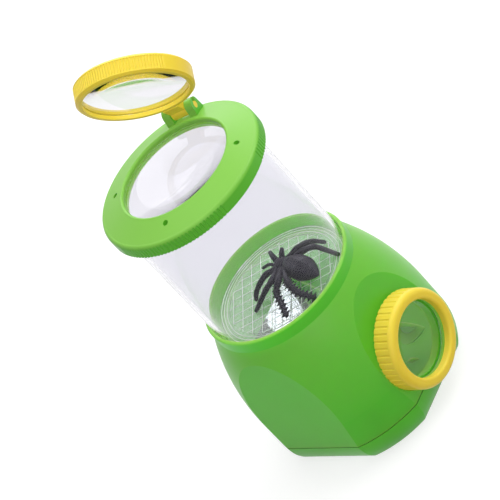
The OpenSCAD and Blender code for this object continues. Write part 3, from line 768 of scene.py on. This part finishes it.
def make_spider_teeth(material):
    tree = teeth_tree()
    rows = []
    for name, (legs, spacing, width, length) in TEETH.items():
        paths = [[place for place, share in limb_path(points)
                  if TEETH_FROM_SHARE < share < TEETH_TO_SHARE] for points in legs.values()]
        rows.append(run_tree("spider_teeth_" + name, tree, lines_mesh("toothed_lines", paths), {
            "Spacing": spacing * MM, "Tooth Width": width * MM, "Tooth Length": length * MM,
            "Finish": material}))
    return rows


def make_spider(material):
    body = make_spider_body(material)
    for piece in [body, make_spider_legs(material)] + make_spider_teeth(material):
        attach(piece, "jar")
    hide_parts("toy_spider")


# Lenses and jar

# Radius, clear radius, edge thickness and bulge in millimetres, and the body that carries each lens
LENSES = {
    "eyepiece_lens": (17.9, 16.35, 2.0, 1.5, "base"),
    "lid_lens": (27.6, 26.25, 2.5, 1.8, "lid"),
    "magnifier_lens": (23.8, 22.65, 2.2, 1.6, "magnifier"),
}
LENS_STEPS = 16
LENS_SIDES = 128
EYE_Z_MM = 31.0
EYE_LENS_MM = 43.65
EYE_TURN = math.radians(90)
LID_LENS_MM = 147.65
HINGE_MM = (33.0, 0.0, 154.2)
HINGE_TURN = math.radians(21.0)
MAG_OPEN = math.radians(60.0)
MAG_DROP_MM = -1.5
MAG_LENS_MM = 1.85
MERGE_REACH = 0.01 * MM
SMOOTH_BELOW = math.radians(30)


def lens_profile(radius, clear_radius, edge, bulge):
    """Half section from the lower pole to the upper one, with the corner rings marked."""
    ball = (clear_radius ** 2 + bulge ** 2) / (2 * bulge)
    reach = [clear_radius * k / LENS_STEPS for k in range(LENS_STEPS + 1)]
    cap = [(r, math.sqrt(ball ** 2 - r ** 2) - ball + bulge) for r in reach]
    low = [(r, -z) for r, z in cap]
    high = [(r, edge + z) for r, z in reversed(cap)]
    corners = {len(low) - 1, len(low), len(low) + 1, len(low) + 2}
    return low + [(radius, 0.0), (radius, edge)] + high, corners


def lens_place(name):
    """Where a lens lies at rest, in millimetres, with its axis along its own z."""
    if name == "eyepiece_lens":
        return (Matrix.Translation((0, 0, EYE_Z_MM)) @ Matrix.Rotation(EYE_TURN, 4, "X")
                @ Matrix.Translation((0, 0, EYE_LENS_MM)))
    if name == "lid_lens":
        return Matrix.Translation((0, 0, LID_LENS_MM))
    back = Vector((-HINGE_MM[0], 0, MAG_DROP_MM + MAG_LENS_MM))
    return (Matrix.Rotation(HINGE_TURN, 4, "Z") @ Matrix.Translation(HINGE_MM)
            @ Matrix.Rotation(MAG_OPEN, 4, "Y") @ Matrix.Translation(back))


def add_lathe(mesh, profile, corners, place):
    """Turns a half section that starts and ends on the axis into a closed smooth body."""
    poles = [mesh.verts.new(place @ Vector((0, 0, profile[k][1])) * MM) for k in (0, -1)]
    rings = [[mesh.verts.new(place @ Vector((r * math.cos(turn), r * math.sin(turn), z)) * MM)
              for turn in turns(LENS_SIDES)] for r, z in profile[1:-1]]
    join_rings(mesh, rings)
    for j in range(LENS_SIDES):
        after = (j + 1) % LENS_SIDES
        mesh.faces.new((poles[0], rings[0][after], rings[0][j]))
        mesh.faces.new((poles[1], rings[-1][j], rings[-1][after]))
        for k in corners:
            mesh.edges.get((rings[k - 1][j], rings[k - 1][after])).smooth = False


def make_lenses(material):
    for name, (radius, clear_radius, edge, bulge, body) in LENSES.items():
        mesh = bmesh.new()
        profile, corners = lens_profile(radius, clear_radius, edge, bulge)
        add_lathe(mesh, profile, corners, lens_place(name))
        piece = finish_mesh("smooth_" + name, mesh, material)
        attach(piece, body)
        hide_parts(name)


def make_jar(material):
    """The carried-over jar, merged and shaded smooth, so that its walls bend light evenly."""
    mesh = bmesh.new()
    mesh.from_mesh(frame["nodes"]["jar"].data)
    bmesh.ops.remove_doubles(mesh, verts=mesh.verts, dist=MERGE_REACH)
    for edge in mesh.edges:
        edge.smooth = edge.calc_face_angle(math.pi) < SMOOTH_BELOW
    piece = finish_mesh("smooth_jar", mesh, material)
    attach(piece, "jar")
    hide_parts("jar")


# Measuring lines

GRID_R_MM = 26.8
GRID_PITCH_MM = 5.0
GRID_TURN = math.radians(30.0)
RING_R_MM = (28.475, 29.975, 31.475)
RING_STEP_DEGREES = 3
LINE_Z_MM = 74.07
LINE_WIDTH_MM = 0.3
LINE_HEIGHT_MM = 0.16


def grid_lines():
    """Ends of every grid line, in metres."""
    count = int(GRID_R_MM // GRID_PITCH_MM)
    paths = []
    for turn in (GRID_TURN, GRID_TURN + math.pi / 2):
        spin = Matrix.Rotation(turn, 3, "Z")
        for k in range(-count, count + 1):
            half = math.sqrt(GRID_R_MM ** 2 - (k * GRID_PITCH_MM) ** 2)
            paths.append([spin @ Vector((side * half, k * GRID_PITCH_MM, LINE_Z_MM)) * MM
                          for side in (-1, 1)])
    return paths


def ring_lines():
    """Points of the rings round the grid, in metres."""
    steps = [math.radians(turn) for turn in range(0, 360 + RING_STEP_DEGREES, RING_STEP_DEGREES)]
    return [[Vector((radius * math.cos(turn), radius * math.sin(turn), LINE_Z_MM)) * MM
             for turn in steps] for radius in RING_R_MM]


def line_tree():
    """A flat bar along every line of the base mesh."""
    tree, given, result = group_tree("measuring_line", "GeometryNodeTree", {
        "Geometry": SHAPE_SOCKET, "Line Width": VALUE_SOCKET, "Line Height": VALUE_SOCKET,
        "Finish": FINISH_SOCKET}, {"Geometry": SHAPE_SOCKET})
    curve = add_node(tree, "GeometryNodeMeshToCurve", Mesh=given["Geometry"])
    upright = add_node(tree, "GeometryNodeSetCurveNormal", Curve=curve.outputs["Curve"])
    upright.mode = "Z_UP"
    section = add_node(tree, "GeometryNodeCurvePrimitiveQuadrilateral",
                       Width=given["Line Height"], Height=given["Line Width"])
    bar = add_node(tree, "GeometryNodeCurveToMesh", Curve=upright.outputs["Curve"],
                   Profile_Curve=section.outputs["Curve"], Fill_Caps=True)
    close_tree(tree, given, bar.outputs["Mesh"], result)
    return tree


def make_measuring_lines(material):
    base = lines_mesh("line_paths", grid_lines() + ring_lines())
    piece = run_tree("measuring_lines", line_tree(), base, {
        "Line Width": LINE_WIDTH_MM * MM, "Line Height": LINE_HEIGHT_MM * MM, "Finish": material})
    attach(piece, "jar")


# Making

MATERIALS = make_materials()
place_camera()
light_stage()
dress_nodes(MATERIALS)
make_lenses(MATERIALS["lens_clear"])
make_jar(MATERIALS["clear_plastic"])
make_measuring_lines(MATERIALS["line_white"])
make_spider(MATERIALS["spider_rubber"])
